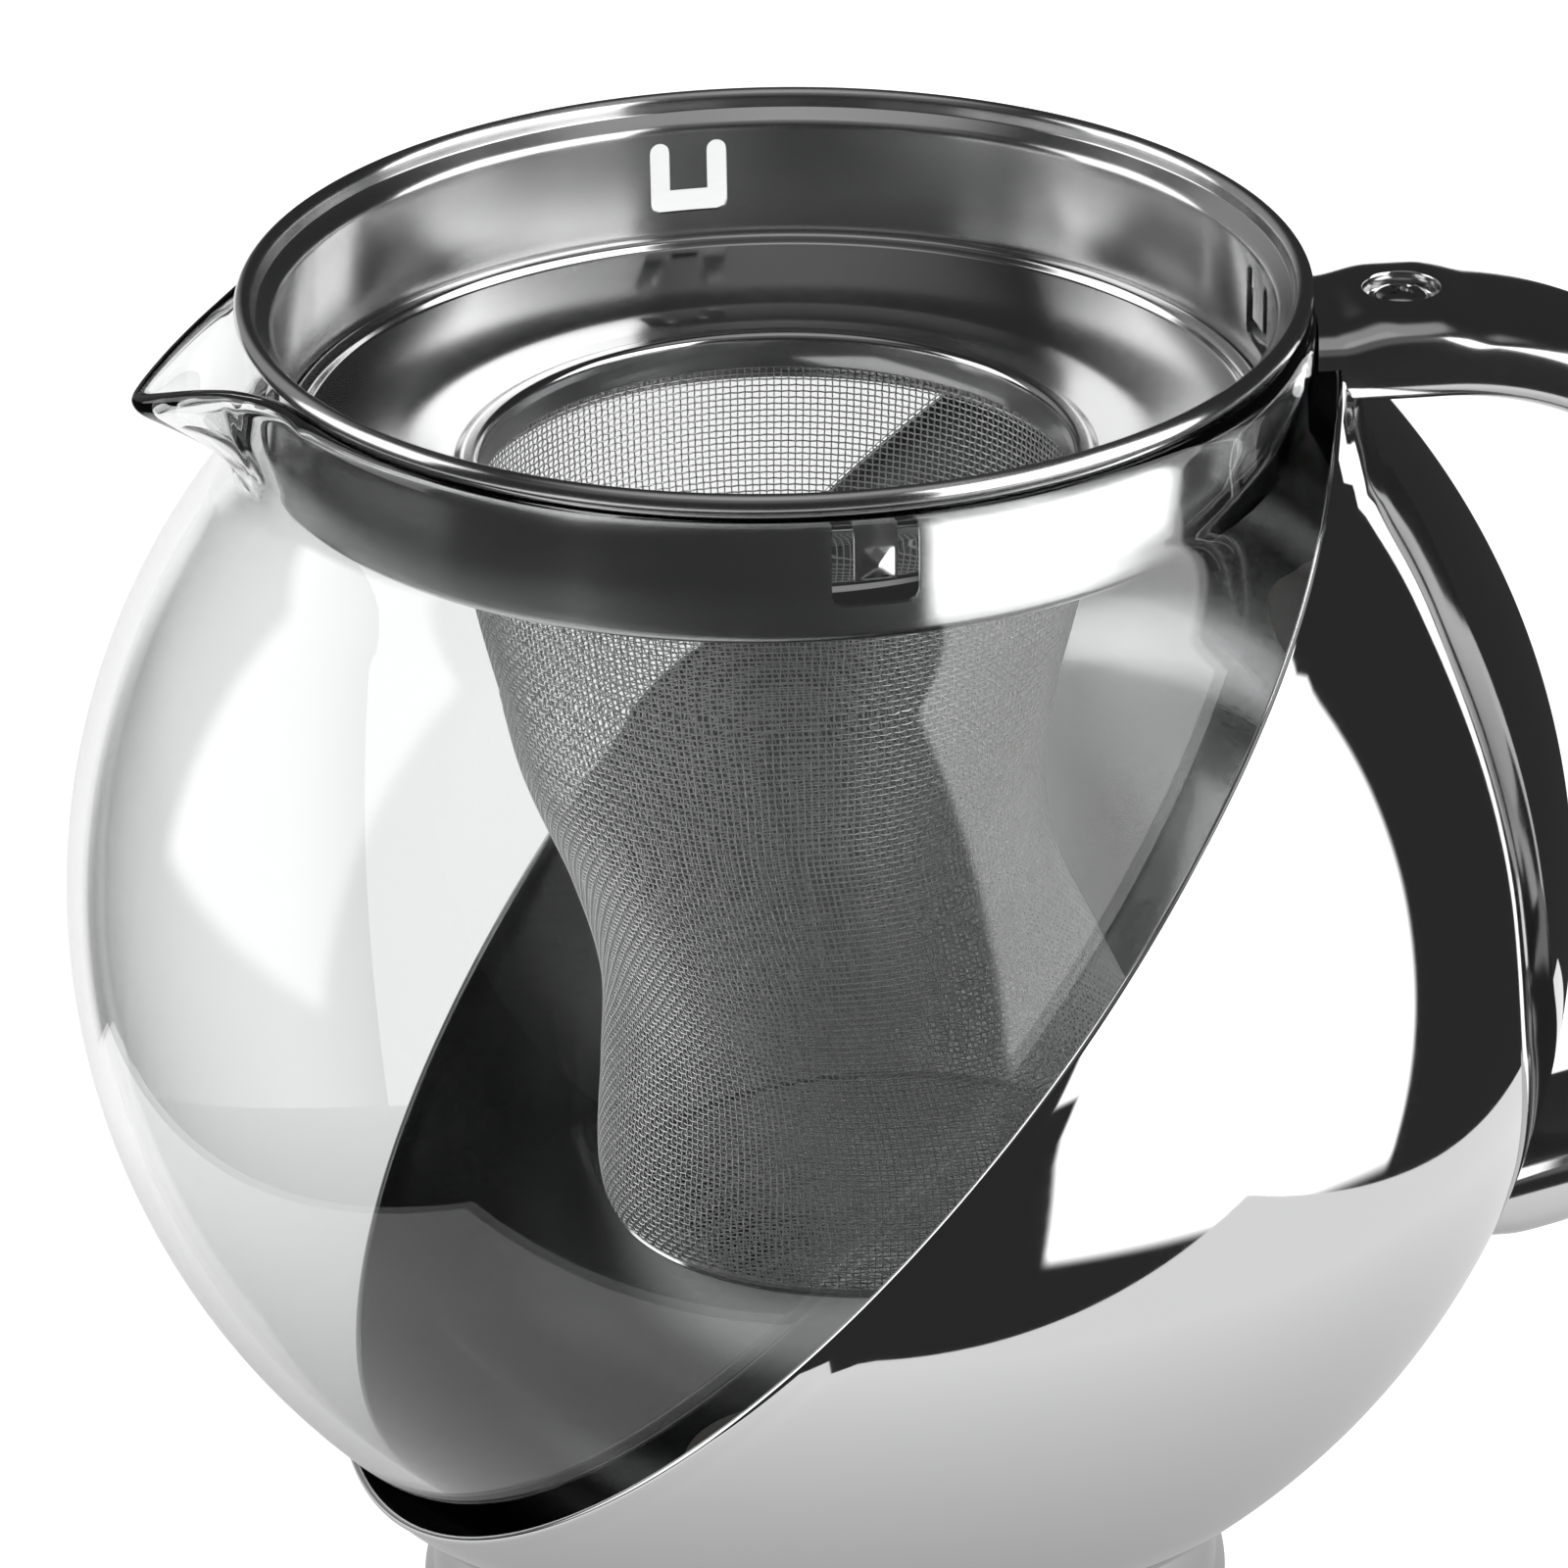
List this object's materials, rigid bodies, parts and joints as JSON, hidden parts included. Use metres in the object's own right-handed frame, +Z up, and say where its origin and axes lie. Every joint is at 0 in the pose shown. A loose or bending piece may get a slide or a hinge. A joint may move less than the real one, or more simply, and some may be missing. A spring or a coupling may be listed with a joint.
{
  "type": "infuser teapot",
  "caption": "Round glass jug in a slant-cut polished steel shell with loop handle, and a lift-out steel infuser with a wire-cloth bag.",
  "frame": {"origin": "middle of the bounding box on the surface that the foot stands on", "axes": "+Z up, +X from the pouring lip to the handle"},
  "size_m": [0.1799, 0.139, 0.1363],
  "materials": {
    "shell_steel": "mirror polished stainless steel",
    "handle_steel": "mirror polished stainless steel",
    "infuser_steel": "polished stainless sheet with fine drawing marks",
    "lug_steel": "plain steel",
    "screw_steel": "bright machine screw",
    "wire_cloth": "plain-woven stainless wire",
    "silicone": "translucent white silicone",
    "jug_glass": "clear fire-polished borosilicate glass"
  },
  "bodies": {
    "pot": {"steel_shell": "shell_steel", "foot_ring": "shell_steel", "upper_lug": "lug_steel", "lower_lug": "lug_steel", "handle": "handle_steel", "upper_screw": "screw_steel", "lower_screw": "screw_steel", "base_pad": "silicone", "back_pads": "silicone", "glass_jug": "jug_glass"},
    "infuser": {"infuser_wall": "infuser_steel", "funnel_floor": "infuser_steel", "throat_ring": "infuser_steel", "mesh_sleeve": "wire_cloth", "mesh_bottom": "wire_cloth", "bottom_seam_ring": "infuser_steel"},
    "tongue_handle_side": {"spring_tongue_handle_side": "infuser_steel"},
    "tongue_back": {"spring_tongue_back": "infuser_steel"},
    "tongue_lip_side": {"spring_tongue_lip_side": "infuser_steel"},
    "tongue_front": {"spring_tongue_front": "infuser_steel"}
  },
  "joints": [
    {"name": "infuser_lift", "type": "slide", "parent": "pot", "child": "infuser", "axis": [0, 0, 1], "range_m": [0, 0.115]},
    {"name": "tongue_flex_handle_side", "type": "hinge", "parent": "infuser", "child": "tongue_handle_side", "pos_m": [0.01997, 0.00386, 0.1323], "axis": [-0.0872, 0.9962, 0], "range_deg": [0, 6], "stiffness_Nm_per_rad": 0.05},
    {"name": "tongue_flex_back", "type": "hinge", "parent": "infuser", "child": "tongue_back", "pos_m": [-0.02808, 0.04418, 0.1323], "axis": [-0.9962, -0.0872, 0], "range_deg": [0, 6], "stiffness_Nm_per_rad": 0.05},
    {"name": "tongue_flex_lip_side", "type": "hinge", "parent": "infuser", "child": "tongue_lip_side", "pos_m": [-0.0684, -0.00386, 0.1323], "axis": [0.0872, -0.9962, 0], "range_deg": [0, 6], "stiffness_Nm_per_rad": 0.05},
    {"name": "tongue_flex_front", "type": "hinge", "parent": "infuser", "child": "tongue_front", "pos_m": [-0.02035, -0.04418, 0.1323], "axis": [0.9962, 0.0872, 0], "range_deg": [0, 6], "stiffness_Nm_per_rad": 0.05}
  ]
}
